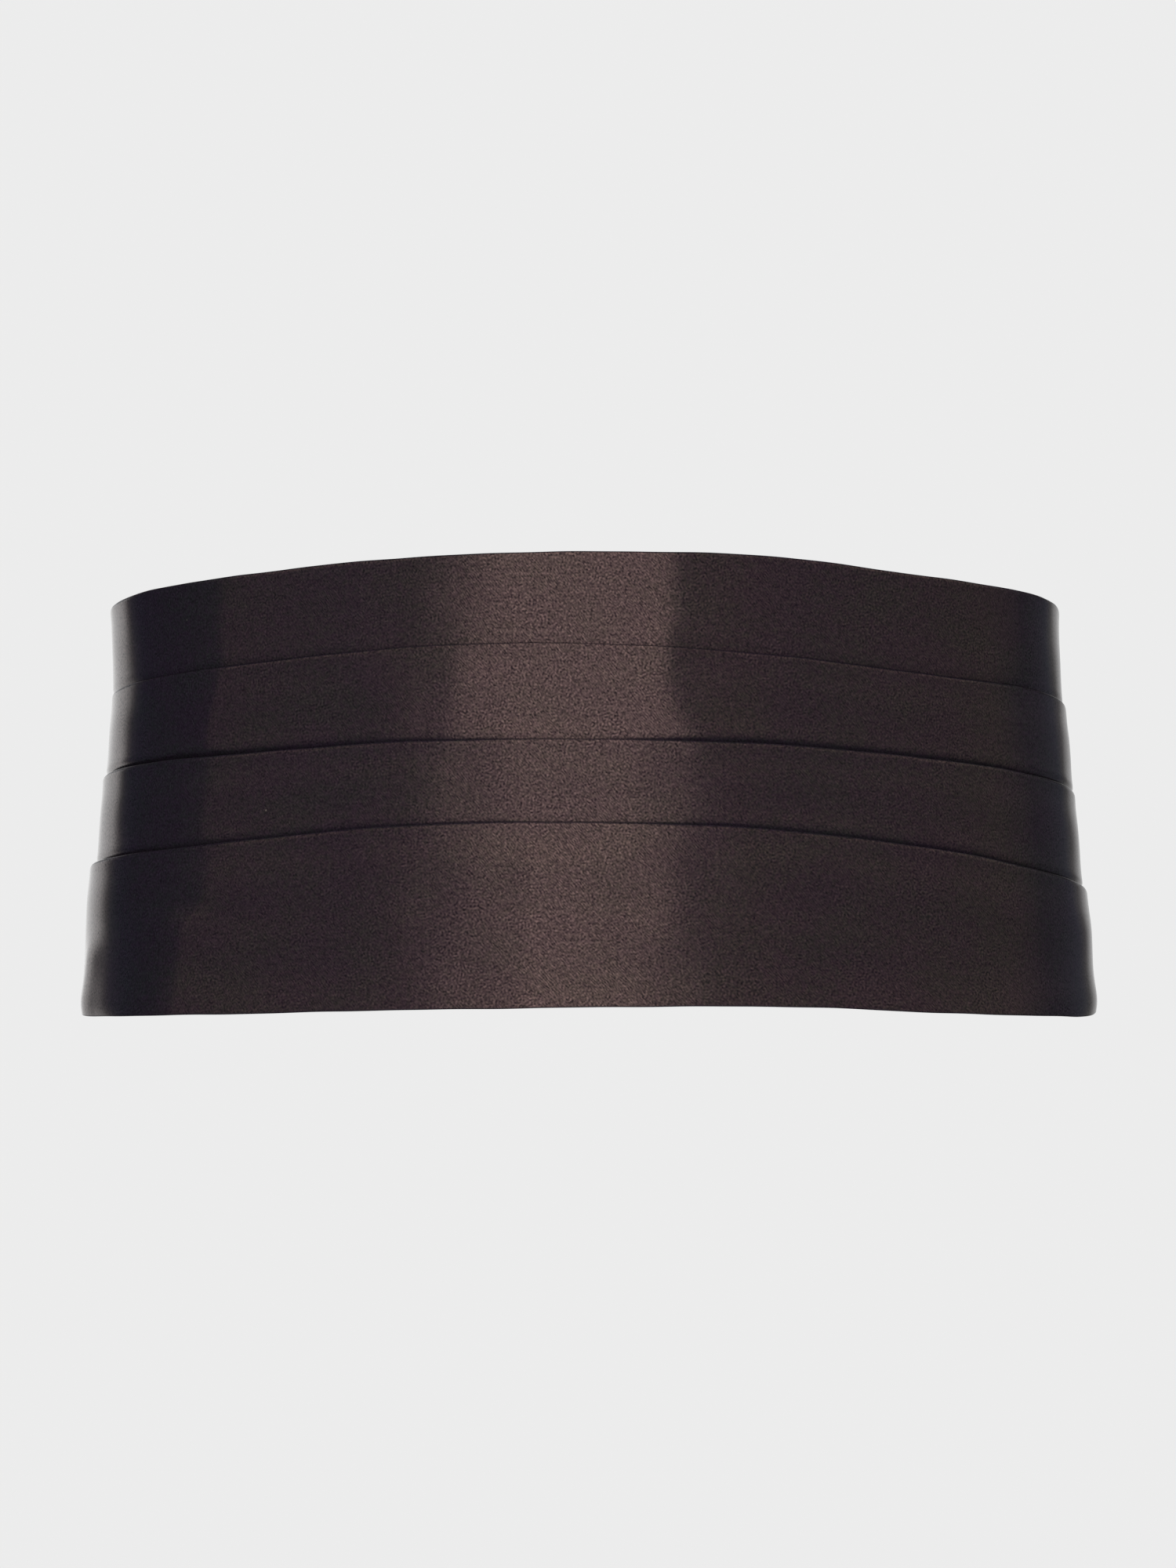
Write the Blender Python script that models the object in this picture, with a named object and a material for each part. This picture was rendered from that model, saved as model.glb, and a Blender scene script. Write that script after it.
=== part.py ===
"""A pleated satin cummerbund, standing as it is worn, closed behind by a strap and clasp.

+Z is up, the front faces -Y and +X is to the right of someone who looks at the front.
The origin is on the axis of the waist, level with the middle of the back strap.

Every piece is placed by three lengths in millimetres:
  run     tape distance round the waist from the centre front, positive towards +X
  height  above the middle of the strap
  lift    outwards from the waist form, which is the inner face of the satin
"""

import math

import bmesh
import bpy
import numpy as np

MM = 0.001

# Cloth, in millimetres.
CLOTH = 1.0  # wall of the interlined satin, the tabs and the strap
SEAM_GAP = 0.3  # room between two pieces that touch
STEP = CLOTH + SEAM_GAP  # how far a folded edge stands off the band above it
TUCK = 10.0  # how far a band runs on behind the folded edge below it
SETTLE = 18.0  # below its lap, a band comes back to the waist over this height
FOLD_ROUND = 0.35  # rounding of folded edges
EDGE_INSET = 0.3  # how much narrower than the wall its edge is, on each side
PANEL_END = 310.0  # run from the centre front to the end of the pleated front
COLUMN = 10.0  # spacing of the columns along the run

# The waist of a general figure: a rounded oval, wider at the hem than at the top.
WAIST_ROUNDNESS = 2.25  # exponent of the oval, 2 being an ellipse
WAIST_COLUMNS = ("height", "half_width", "half_depth")
WAIST_SECTIONS = (
    (-66.0, 152.4, 110.0),
    (-54.0, 150.4, 108.6),
    (-40.0, 149.0, 107.7),
    (-23.0, 146.8, 106.1),
    (3.0, 143.6, 103.8),
    (30.0, 141.4, 102.2),
    (68.0, 141.2, 102.0),
)
TAPE_STOPS = 2881  # points round the waist that the tape is read at

# The pleated front: heights of its edges at stations along the run.
PANEL_COLUMNS = ("run", "top", "fold_1", "fold_2", "fold_3", "hem")
PANEL_STATIONS = (
    (-310.0, 29.0, 14.5, 0.0, -14.5, -29.0),
    (-262.0, 44.0, 22.5, 2.5, -17.5, -48.0),
    (-205.0, 55.0, 30.0, 5.5, -20.5, -64.3),
    (-160.0, 58.8, 32.7, 8.0, -18.5, -65.0),
    (-100.0, 62.8, 36.4, 10.4, -15.0, -64.7),
    (-50.0, 66.0, 40.0, 12.9, -11.2, -64.0),
    (0.0, 67.4, 40.6, 13.2, -10.6, -63.3),
    (50.0, 66.4, 38.0, 12.2, -12.3, -63.1),
    (100.0, 62.4, 33.3, 8.9, -17.2, -64.5),
    (160.0, 58.2, 30.0, 4.1, -24.7, -65.1),
    (205.0, 55.0, 25.8, 0.4, -27.5, -64.3),
    (262.0, 44.0, 21.0, -1.0, -22.0, -48.0),
    (310.0, 29.0, 14.5, 0.0, -14.5, -29.0),
)

# Each stretch of the pleated satin, from its folded top edge to the next edge down.
BAND_COLUMNS = ("name", "top", "bottom", "laps_over", "tucks_under")
BANDS = (
    ("top_band", "top", "fold_1", False, True),
    ("second_band", "fold_1", "fold_2", True, True),
    ("third_band", "fold_2", "fold_3", True, True),
    ("bottom_band", "fold_3", "hem", True, False),
)

# The tabs: flat sleeves that take the panel's end at one side and the strap at the other.
TAB_MIDDLE = (2.0 * CLOTH + SEAM_GAP) / 2.0  # lift of the sleeve's middle, and of the strap
TAB_COLUMNS = ("run", "half_height", "half_hollow")
TAB_STATIONS = (
    (294.0, 37.2, TAB_MIDDLE + SEAM_GAP),
    (302.0, 34.1, TAB_MIDDLE + SEAM_GAP),
    (311.0, 30.6, TAB_MIDDLE + SEAM_GAP),
    (320.0, 24.5, 1.1),
    (330.0, 17.6, CLOTH / 2.0 + SEAM_GAP),
    (340.0, 13.6, CLOTH / 2.0 + SEAM_GAP),
)
TAB_ROWS = 5  # rows of points up each face of a tab
TAB_COLUMN_COUNT = 10

# The strap and the metal parts. Here `back` is the tape distance from the centre back,
# positive towards +X, in place of the run.
STRAP_HEIGHT = 25.0
STRAP_IN_TAB = 21.0  # length of each strap that is sewn into its tab
STRAIGHT_SPAN = 4.0  # a longer stretch between two points of a route stays straight
HALVED_SPAN = 1.2  # a longer span between two points gets one more on its curve
TURN_POINTS = 9  # points in a strap's or the hook's half turn round a bar
METAL_BEVEL = 0.35  # width of the chamfer on the edges of the metal parts
BEVEL_FROM = 50.0  # degrees between two faces that get the chamfer
SMOOTH_UP_TO = 35.0  # degrees between two faces that are shaded as one

SLIDER_BACK = 45.0  # centre of the slide adjuster
SLIDER_LIFT = 4.05
SLIDER_LENGTH = 18.0
SLIDER_HEIGHT = 31.0
SLIDER_BAR = 2.2
SLIDER_METAL = 1.6

RING_LIFT = 2.4
RING_LENGTH = 12.0
RING_HEIGHT = 31.0
RING_BAR = 2.0

HOOK_METAL = 1.2
HOOK_LIFT = 2.6
HOOK_BAR_BACK = -28.0  # middle of the bar that the left strap is looped on
HOOK_BAR = 2.2
HOOK_WINDOW = 5.0  # the strap's slot beside that bar
HOOK_FRAME = 2.0  # metal above and below that slot
HOOK_HEIGHT = 30.0
TONGUE_HEIGHT = 14.0

MATERIALS = {
    "satin": ((0.034, 0.024, 0.026, 1.0), 0.36, 0.0),
    "strap_cloth": ((0.020, 0.016, 0.018, 1.0), 0.75, 0.0),
    "metal": ((0.36, 0.35, 0.34, 1.0), 0.28, 1.0),
}


def table(columns, rows):
    """A table's rows as arrays, one for each named column."""
    return {name: np.array(values) for name, values in zip(columns, zip(*rows))}


def smooth(points, key, column, at):
    """A column's value where the key column reads `at`, on a smooth curve through the rows."""
    x = points[key]
    y = points[column]
    slope = np.gradient(y, x)
    i = int(np.clip(np.searchsorted(x, at) - 1, 0, len(x) - 2))
    span = x[i + 1] - x[i]
    u = float(np.clip((at - x[i]) / span, 0.0, 1.0))
    level = (1 + 2 * u) * (1 - u) ** 2 * y[i] + u * u * (3 - 2 * u) * y[i + 1]
    lean = u * (1 - u) ** 2 * slope[i] - u * u * (1 - u) * slope[i + 1]
    return float(level + span * lean)


WAIST = table(WAIST_COLUMNS, WAIST_SECTIONS)
PANEL = table(PANEL_COLUMNS, PANEL_STATIONS)
TAB = table(TAB_COLUMNS, TAB_STATIONS)


def signed_power(value, power):
    return math.copysign(abs(value) ** power, value)


def oval(angle, half_width, half_depth):
    """A point of the waist's oval, the angle turning from the centre front towards +X."""
    power = 2.0 / WAIST_ROUNDNESS
    x = half_width * signed_power(math.sin(angle), power)
    y = -half_depth * signed_power(math.cos(angle), power)
    return x, y


def tape_round_waist():
    """Angles round the waist at strap height, and the tape's reading at each of them."""
    size = [smooth(WAIST, "height", column, 0.0) for column in WAIST_COLUMNS[1:]]
    angles = np.linspace(0.0, 2.0 * math.pi, TAPE_STOPS)
    points = np.array([oval(angle, *size) for angle in angles])
    steps = np.hypot(*np.diff(points, axis=0).T)
    return angles, np.concatenate([[0.0], np.cumsum(steps)])


TAPE_ANGLES, TAPE_READINGS = tape_round_waist()
GIRTH = TAPE_READINGS[-1]
TAB_EDGE = GIRTH / 2.0 - TAB["run"][-1]  # the tabs' narrow edges, from the centre back


def waist_point(run, height, lift):
    """A point in metres from its run, height and lift in millimetres."""
    half_width = smooth(WAIST, "height", "half_width", height)
    half_depth = smooth(WAIST, "height", "half_depth", height)
    angle = float(np.interp(run % GIRTH, TAPE_READINGS, TAPE_ANGLES))
    x, y = oval(angle, half_width, half_depth)
    out_x = signed_power(x / half_width, WAIST_ROUNDNESS - 1.0) / half_width
    out_y = signed_power(y / half_depth, WAIST_ROUNDNESS - 1.0) / half_depth
    length = math.hypot(out_x, out_y)
    x += out_x / length * lift
    y += out_y / length * lift
    return x * MM, y * MM, height * MM


def material(name):
    """The Principled material of this name, made once."""
    found = bpy.data.materials.get(name)
    if found:
        return found
    colour, roughness, metallic = MATERIALS[name]
    made = bpy.data.materials.new(name)
    made.use_nodes = True
    shader = made.node_tree.nodes["Principled BSDF"]
    shader.inputs["Base Color"].default_value = colour
    shader.inputs["Roughness"].default_value = roughness
    shader.inputs["Metallic"].default_value = metallic
    made.diffuse_color = colour
    return made


def add_object(name, work, finish):
    """Links the finished bmesh as an object with this name and material."""
    mesh = bpy.data.meshes.new(name)
    work.to_mesh(mesh)
    work.free()
    mesh.shade_smooth()
    mesh.set_sharp_from_angle(angle=math.radians(SMOOTH_UP_TO))
    made = bpy.data.objects.new(name, mesh)
    made.data.materials.append(material(finish))
    bpy.context.scene.collection.objects.link(made)
    return made


def loft(name, sections, finish):
    """A closed solid through sections of equally many points, each listed from its
    outer lower corner up the outer side and down the inner side."""
    work = bmesh.new()
    rings = [[work.verts.new(point) for point in section] for section in sections]
    for near, far in zip(rings, rings[1:]):
        for j in range(len(near)):
            k = (j + 1) % len(near)
            work.faces.new((near[j], far[j], far[k], near[k]))
    work.faces.new(rings[0])
    work.faces.new(reversed(rings[-1]))
    return add_object(name, work, finish)


def sheet(name, place, columns, rows, finish, wall, side, windows=(), closed=False):
    """A grid of faces with Solidify for its wall. `place(i, j)` gives each point, a
    window is a (column, row) cell left out, and a closed sheet joins its last row to
    its first. `side` is 1 to thicken outwards, 0 for both ways."""
    work = bmesh.new()
    grid = [[work.verts.new(place(i, j)) for j in range(rows)] for i in range(columns)]
    last_row = rows if closed else rows - 1
    for i in range(columns - 1):
        for j in range(last_row):
            if (i, j) in windows:
                continue
            k = (j + 1) % rows
            work.faces.new((grid[i][j], grid[i + 1][j], grid[i + 1][k], grid[i][k]))
    unused = [vert for vert in work.verts if not vert.link_faces]
    bmesh.ops.delete(work, geom=unused, context="VERTS")
    made = add_object(name, work, finish)
    solidify = made.modifiers.new("wall", "SOLIDIFY")
    solidify.thickness = wall * MM
    solidify.offset = side
    solidify.use_even_offset = True
    return made


def plate(name, place, columns, rows, metal, windows):
    """A sheet of metal with its edges chamfered."""
    made = sheet(name, place, columns, rows, "metal", metal, side=0, windows=windows)
    bevel = made.modifiers.new("edges", "BEVEL")
    bevel.width = METAL_BEVEL * MM
    bevel.segments = 1
    bevel.limit_method = "ANGLE"
    bevel.angle_limit = math.radians(BEVEL_FROM)
    return made


def bar_reach(width, metal):
    """Distance from the middle of a chamfered bar to its furthest corner."""
    half_width, half_metal = width / 2.0, metal / 2.0
    beside = math.hypot(half_width, half_metal - METAL_BEVEL)
    above = math.hypot(half_width - METAL_BEVEL, half_metal)
    return max(beside, above)


def band_lift(below_top, room, laps_over):
    """Lift of a band's outer face at a distance below its top edge. A folded edge laps
    over the band above, and below that lap the band settles back to the waist."""
    if not laps_over:
        return CLOTH
    settle = min(SETTLE, room - TUCK)
    u = min(max((below_top - TUCK) / settle, 0.0), 1.0)
    return CLOTH + STEP * (1.0 - u * u * (3.0 - 2.0 * u))


def band_section(run, band):
    """The wall of one band at one run, as points from its outer lower corner."""
    top = smooth(PANEL, "run", band["top"], run)
    bottom = smooth(PANEL, "run", band["bottom"], run)
    room = top - bottom
    if not band["laps_over"]:
        depths = [room + TUCK, room, room / 2.0]
    elif band["tucks_under"]:
        depths = [room + TUCK, room, (room + TUCK) / 2.0, TUCK]
    else:
        settled = TUCK + min(SETTLE, room - TUCK)
        halfway = (room + settled) / 2.0
        depths = [room - FOLD_ROUND, halfway, settled, (TUCK + settled) / 2.0, TUCK]
    depths.append(FOLD_ROUND)
    face = [(top - d, band_lift(d, room, band["laps_over"])) for d in depths]
    fold = band_lift(0.0, room, band["laps_over"])
    section = face + [(top, fold - EDGE_INSET), (top, fold - CLOTH + EDGE_INSET)]
    section += [(height, lift - CLOTH) for height, lift in reversed(face)]
    if not band["tucks_under"]:
        section += [(bottom, EDGE_INSET), (bottom, CLOTH - EDGE_INSET)]
    return [waist_point(run, height, lift) for height, lift in section]


def make_band(row):
    band = dict(zip(BAND_COLUMNS, row))
    columns = round(2.0 * PANEL_END / COLUMN) + 1
    runs = np.linspace(-PANEL_END, PANEL_END, columns)
    sections = [band_section(run, band) for run in runs]
    return loft(band["name"], sections, "satin")


def tab_loop(half_height, half_hollow):
    """The hollow of a tab's sleeve, up its outer face and down its inner one."""
    shares = np.linspace(-1.0, 1.0, TAB_ROWS)
    straight = half_height - half_hollow
    outer = [(straight * share, TAB_MIDDLE + half_hollow) for share in shares]
    inner = [(straight * share, TAB_MIDDLE - half_hollow) for share in reversed(shares)]
    return outer + [(half_height, TAB_MIDDLE)] + inner + [(-half_height, TAB_MIDDLE)]


def make_tab(name, side):
    """The tab at one end of the pleated front; side is 1 towards +X and -1 towards -X."""
    loops = []
    for run in np.linspace(TAB["run"][0], TAB["run"][-1], TAB_COLUMN_COUNT):
        sizes = [smooth(TAB, "run", column, run) for column in TAB_COLUMNS[1:]]
        loop = [waist_point(side * run, height, lift) for height, lift in tab_loop(*sizes)]
        loops.append(loop)
    loops = loops[::side]

    def place(i, j):
        return loops[i][j]

    rows = len(loops[0])
    return sheet(name, place, len(loops), rows, "satin", CLOTH, side=1, closed=True)


def half_turn(back, lift, radius, start, end):
    """Points of a turn round a bar, in degrees from straight out, towards +X."""
    angles = np.radians(np.linspace(start, end, TURN_POINTS))
    return [(back + radius * math.sin(a), lift + radius * math.cos(a)) for a in angles]


def with_straights(points):
    """The points with more between those far apart, which keeps long stretches straight."""
    filled = [points[0]]
    for near, far in zip(points, points[1:]):
        pieces = math.ceil(math.dist(near, far) / STRAIGHT_SPAN)
        filled += [np.add(near, np.subtract(far, near) * k / pieces) for k in range(1, pieces + 1)]
    return np.array(filled)


def smooth_route(points):
    """The route's points on a smooth curve, with one more halfway along each span."""
    route = with_straights(points)
    steps = np.hypot(*np.diff(route, axis=0).T)
    length = np.concatenate([[0.0], np.cumsum(steps)])
    lines = {"length": length, "back": route[:, 0], "lift": route[:, 1]}
    halves = (length[1:] + length[:-1])[steps > HALVED_SPAN] / 2.0
    stops = np.sort(np.concatenate([length, halves]))
    return [[smooth(lines, "length", c, s) for c in ("back", "lift")] for s in stops]


def route_normals(route):
    """The direction across the route at each of its points."""
    along = np.gradient(np.array(route), axis=0)
    along /= np.hypot(*along.T)[:, None]
    return np.stack([-along[:, 1], along[:, 0]], axis=1)


def make_strap(name, route):
    """A flat strap along a route of (back, lift) points that runs towards -X at first."""
    points = smooth_route(route)
    half_wall = CLOTH / 2.0
    half_height = STRAP_HEIGHT / 2.0
    corners = ((-1, -1), (-1, 1), (1, 1), (1, -1))
    sections = []
    for (back, lift), (across_back, across_lift) in zip(points, route_normals(points)):
        section = []
        for face, edge in corners:
            at_back = back + face * half_wall * across_back
            at_lift = lift + face * half_wall * across_lift
            run = GIRTH / 2.0 - at_back
            section.append(waist_point(run, edge * half_height, at_lift))
        sections.append(section)
    return loft(name, sections, "strap_cloth")


def right_route():
    """From the tab, under the slider's first bar, over its middle bar and under the
    last, round the ring's bar and back, to end round the slider's middle bar."""
    under_bar = SLIDER_LIFT - SLIDER_METAL / 2.0 - SEAM_GAP - CLOTH / 2.0
    under_both = under_bar - STEP
    first_bar = SLIDER_BACK + (SLIDER_LENGTH - SLIDER_BAR) / 2.0
    last_bar = SLIDER_BACK - (SLIDER_LENGTH - SLIDER_BAR) / 2.0
    ring_bar = (RING_LENGTH - RING_BAR) / 2.0
    ring_turn = bar_reach(RING_BAR, RING_BAR) + SEAM_GAP + CLOTH / 2.0
    inner_turn = bar_reach(SLIDER_BAR, SLIDER_METAL) + SEAM_GAP + CLOTH / 2.0
    over_bar = SLIDER_LIFT + inner_turn + STEP
    out = [
        (TAB_EDGE + STRAP_IN_TAB, TAB_MIDDLE),
        (TAB_EDGE - 0.5, TAB_MIDDLE),
        (first_bar + 2.5, under_bar - 0.1),
        (first_bar - 1.1, under_bar),
        (first_bar - 2.9, under_bar + 0.9),
        (SLIDER_BACK + 4.4, SLIDER_LIFT + 0.4),
        (SLIDER_BACK + 3.0, over_bar - 1.0),
        (SLIDER_BACK, over_bar),
        (SLIDER_BACK - 3.0, over_bar - 1.1),
        (SLIDER_BACK - 4.4, SLIDER_LIFT + 0.4),
        (last_bar + 2.9, under_bar + 0.9),
        (last_bar + 1.0, under_bar),
        (last_bar - 3.0, under_bar),
        (20.0, under_bar),
        (11.0, RING_LIFT + 1.0),
        (8.0, RING_LIFT + ring_turn - 0.25),
    ]
    turn = half_turn(ring_bar, RING_LIFT, ring_turn, 0.0, -180.0)
    home = [
        (8.0, RING_LIFT - ring_turn + 0.05),
        (14.0, under_both - 0.15),
        (20.0, under_both),
        (last_bar, under_both),
        (last_bar + 2.6, under_both + 0.1),
    ]
    end = half_turn(SLIDER_BACK, SLIDER_LIFT, inner_turn, 200.0, -20.0)
    return out + turn + home + end


def left_route():
    """From the tab to the hook's bar, round it, and back under itself."""
    turn_radius = bar_reach(HOOK_BAR, HOOK_METAL) + SEAM_GAP + CLOTH / 2.0
    upper = TAB_MIDDLE + STEP
    out = [
        (-TAB_EDGE - STRAP_IN_TAB, TAB_MIDDLE),
        (-TAB_EDGE + 0.5, TAB_MIDDLE),
        (-TAB_EDGE + 3.0, TAB_MIDDLE + 0.6),
        (-TAB_EDGE + 6.0, upper),
        (-40.0, upper),
        (HOOK_BAR_BACK - 4.5, HOOK_LIFT + turn_radius - 1.0),
    ]
    turn = half_turn(HOOK_BAR_BACK, HOOK_LIFT, turn_radius, 0.0, 180.0)
    home = [
        (HOOK_BAR_BACK - 4.0, TAB_MIDDLE - 0.35),
        (-40.0, TAB_MIDDLE),
        (-TAB_EDGE + 8.0, TAB_MIDDLE),
    ]
    return out + turn + home


def flat_plate(name, centre_back, lift, stops_back, stops_height, windows, metal):
    """A metal plate with windows, lying along the waist."""

    def place(i, j):
        run = GIRTH / 2.0 - (centre_back + stops_back[i])
        return waist_point(run, stops_height[j], lift)

    return plate(name, place, len(stops_back), len(stops_height), metal, windows)


def make_slider():
    """A frame with a middle bar."""
    half = SLIDER_LENGTH / 2.0
    inner = half - SLIDER_BAR
    middle = SLIDER_BAR / 2.0
    along = (half, inner, middle, -middle, -inner, -half)
    top = SLIDER_HEIGHT / 2.0
    levels = (-top, -top + SLIDER_BAR, 0.0, top - SLIDER_BAR, top)
    windows = {(i, j) for i in (1, 3) for j in (1, 2)}
    return flat_plate(
        "slider", SLIDER_BACK, SLIDER_LIFT, along, levels, windows, SLIDER_METAL
    )


def make_ring():
    """A rectangular ring across the centre back."""
    half = RING_LENGTH / 2.0
    along = (half, half - RING_BAR, RING_BAR - half, -half)
    top = RING_HEIGHT / 2.0
    levels = (-top, RING_BAR - top, 0.0, top - RING_BAR, top)
    windows = {(1, 1), (1, 2)}
    return flat_plate("ring", 0.0, RING_LIFT, along, levels, windows, RING_BAR)


def make_hook():
    """A plate with a slot for the strap and a tongue that curls round the ring's bar."""
    turn_radius = bar_reach(RING_BAR, RING_BAR) + SEAM_GAP + HOOK_METAL / 2.0
    ring_bar = (RING_BAR - RING_LENGTH) / 2.0
    over = RING_LIFT + turn_radius
    bar_edge = HOOK_BAR_BACK - HOOK_BAR / 2.0
    slot_start = HOOK_BAR_BACK + HOOK_BAR / 2.0
    slot_end = slot_start + HOOK_WINDOW
    full = HOOK_HEIGHT / 2.0
    narrow = TONGUE_HEIGHT / 2.0
    stations = [
        (bar_edge, HOOK_LIFT, full),
        (slot_start, HOOK_LIFT, full),
        (slot_end, HOOK_LIFT, full),
        (slot_end + 3.0, HOOK_LIFT, full - 1.0),
        (slot_end + 7.5, HOOK_LIFT + 0.3, narrow + 0.6),
        (ring_bar - 5.6, over - 0.25, narrow),
        (ring_bar - 2.5, over, narrow),
    ]
    turn = half_turn(ring_bar, RING_LIFT, turn_radius, 0.0, 180.0)
    stations += [(back, lift, narrow) for back, lift in turn]
    stations += [(ring_bar - 3.6, RING_LIFT - turn_radius + 0.1, narrow)]
    stations = stations[::-1]
    window_share = (full - HOOK_FRAME) / full
    shares = (-1.0, -window_share, 0.0, window_share, 1.0)
    slot_column = len(stations) - 3

    def place(i, j):
        back, lift, half_height = stations[i]
        return waist_point(GIRTH / 2.0 - back, half_height * shares[j], lift)

    windows = {(slot_column, 1), (slot_column, 2)}
    return plate("hook", place, len(stations), len(shares), HOOK_METAL, windows)


def build():
    for old in list(bpy.data.objects):
        bpy.data.objects.remove(old, do_unlink=True)
    for row in BANDS:
        make_band(row)
    make_tab("right_tab", 1)
    make_tab("left_tab", -1)
    make_strap("right_strap", right_route())
    make_strap("left_strap", left_route())
    make_slider()
    make_ring()
    make_hook()


build()
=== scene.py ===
import math

import bmesh
import bpy
import numpy as np
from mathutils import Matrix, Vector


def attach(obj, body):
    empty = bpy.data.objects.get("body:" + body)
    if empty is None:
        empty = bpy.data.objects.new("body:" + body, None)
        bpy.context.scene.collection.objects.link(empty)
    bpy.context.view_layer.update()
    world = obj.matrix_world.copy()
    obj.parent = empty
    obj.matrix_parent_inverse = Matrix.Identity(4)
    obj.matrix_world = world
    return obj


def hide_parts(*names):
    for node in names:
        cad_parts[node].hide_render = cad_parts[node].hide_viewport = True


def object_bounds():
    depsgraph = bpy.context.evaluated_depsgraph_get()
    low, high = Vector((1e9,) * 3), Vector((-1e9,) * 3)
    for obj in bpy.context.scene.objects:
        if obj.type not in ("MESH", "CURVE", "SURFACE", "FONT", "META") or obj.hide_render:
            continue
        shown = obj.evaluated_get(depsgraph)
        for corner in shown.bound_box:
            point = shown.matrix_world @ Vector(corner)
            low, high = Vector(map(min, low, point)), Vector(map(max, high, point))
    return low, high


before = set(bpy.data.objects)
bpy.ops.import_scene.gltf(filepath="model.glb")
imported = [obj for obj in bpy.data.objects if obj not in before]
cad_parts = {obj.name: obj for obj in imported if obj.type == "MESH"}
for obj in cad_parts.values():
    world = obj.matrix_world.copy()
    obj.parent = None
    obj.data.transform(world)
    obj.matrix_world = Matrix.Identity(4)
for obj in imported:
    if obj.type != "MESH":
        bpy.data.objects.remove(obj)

# A pleated satin cummerbund as it is worn, with nobody in it. Lengths here are millimetres
# until mm turns them into metres. Every piece lies on the waist by three lengths:
#   run     tape distance round the waist from the centre front, + towards +X
#   height  above the middle of the back strap
#   lift    outwards from the waist, whose surface is the inner face of the satin
mm = 0.001
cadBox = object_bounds()
print("frame loaded:", len(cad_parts), "CAD nodes")

cloth = {
    "wall": 1.0,  # of the tabs' sleeves, and of the straps' webbing
    "gap": 0.3,  # room left between two pieces that meet
    "tuck": 10.0,  # how far a band runs on behind the fold below it
    "settle": 18.0,  # a band comes back to the waist over this much height
}
step = cloth["wall"] + cloth["gap"]  # from one layer of webbing to the next

waist = {
    "roundness": 2.25,  # 2 would be an ellipse
    "stops": 2881,  # places round it where its tape is read
    "height": (-66, -54, -40, -23, 3, 30, 68),
    "halfWidth": (152.4, 150.4, 149.0, 146.8, 143.6, 141.4, 141.2),
    "halfDepth": (110.0, 108.6, 107.7, 106.1, 103.8, 102.2, 102.0),
}

# heights of the panel's edges, station by station along the run
panel = {
    "run": (-310, -262, -205, -160, -100, -50, 0, 50, 100, 160, 205, 262, 310),
    "top": (29, 44, 55, 58.8, 62.6, 65.8, 67.1, 66.2, 62.0, 58.4, 55, 44, 29),
    "foldOne": (14.5, 22.5, 30, 32.7, 36.4, 40.0, 40.6, 38.0, 33.3, 30.0, 25.8, 21, 14.5),
    "foldTwo": (0, 2.5, 5.5, 8.0, 10.4, 12.9, 13.2, 12.2, 8.9, 4.1, 0.4, -1, 0),
    "foldThree": (-14.5, -17.5, -20.5, -18.5, -15, -11.2, -10.6,
                  -12.3, -17.2, -24.7, -27.5, -22, -14.5),
    "hem": (-29, -48, -64.3, -65.0, -64.7, -63.8, -63.0, -62.8, -64.4, -65.1, -64.3, -48, -29),
}


# a smooth curve through the points (x, y), read at every place in `at`
def smoothLine(x, y, at):
    x, y, at = (np.asarray(v, float) for v in (x, y, at))
    slope = np.gradient(y, x)
    i = np.clip(np.searchsorted(x, at) - 1, 0, len(x) - 2)
    span = x[i + 1] - x[i]
    u = np.clip((at - x[i]) / span, 0, 1)
    level = (1 + 2 * u) * (1 - u) ** 2 * y[i] + u * u * (3 - 2 * u) * y[i + 1]
    lean = u * (1 - u) ** 2 * slope[i] - u * u * (1 - u) * slope[i + 1]
    return level + span * lean


def ease(u):
    u = np.clip(u, 0, 1)
    return u * u * (3 - 2 * u)


def signedPower(value, power):
    return np.sign(value) * np.abs(value) ** power


def oval(angle, halfWidth, halfDepth):
    power = 2 / waist["roundness"]
    x = halfWidth * signedPower(np.sin(angle), power)
    return x, -halfDepth * signedPower(np.cos(angle), power)


# distance along a line of points from the first one, at each of them
def lengthAlong(points):
    return np.concatenate([[0], np.cumsum(np.hypot(*np.diff(points, axis=0).T))])


def waistSize(height):
    return [smoothLine(waist["height"], waist[key], height) for key in ("halfWidth", "halfDepth")]


# angles round the waist, and the tape's reading at each
def tapeRoundWaist():
    angles = np.linspace(0, 2 * math.pi, waist["stops"])
    return angles, lengthAlong(np.transpose(oval(angles, *waistSize(0))))


tapeAngles, tapeReadings = tapeRoundWaist()
girth = tapeReadings[-1]


# points in metres, from arrays of run, height and lift
def waistPoint(run, height, lift):
    run, height, lift = np.broadcast_arrays(run, height, lift)
    halfWidth, halfDepth = waistSize(height)
    x, y = oval(np.interp(run % girth, tapeReadings, tapeAngles), halfWidth, halfDepth)
    outX = signedPower(x / halfWidth, waist["roundness"] - 1) / halfWidth
    outY = signedPower(y / halfDepth, waist["roundness"] - 1) / halfDepth
    length = np.hypot(outX, outY)
    return np.stack([x + outX / length * lift, y + outY / length * lift, height], axis=-1) * mm


# the same for the back, where places are read from the centre back, + towards +X
def backPoint(back, height, lift):
    return waistPoint(girth / 2 - back, height, lift)


# directions square to these ones, each with a length of 1
def squareTo(along):
    along = along / np.linalg.norm(along, axis=1)[:, None]
    return np.stack([-along[:, 1], along[:, 0]], -1)


# angles of a half round, without its two ends
def halfRound(points):
    return np.radians(np.linspace(0, 180, points + 2)[1:-1])


def addObject(name, data):
    made = bpy.data.objects.new(name, data)
    bpy.context.scene.collection.objects.link(made)
    return made


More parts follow.
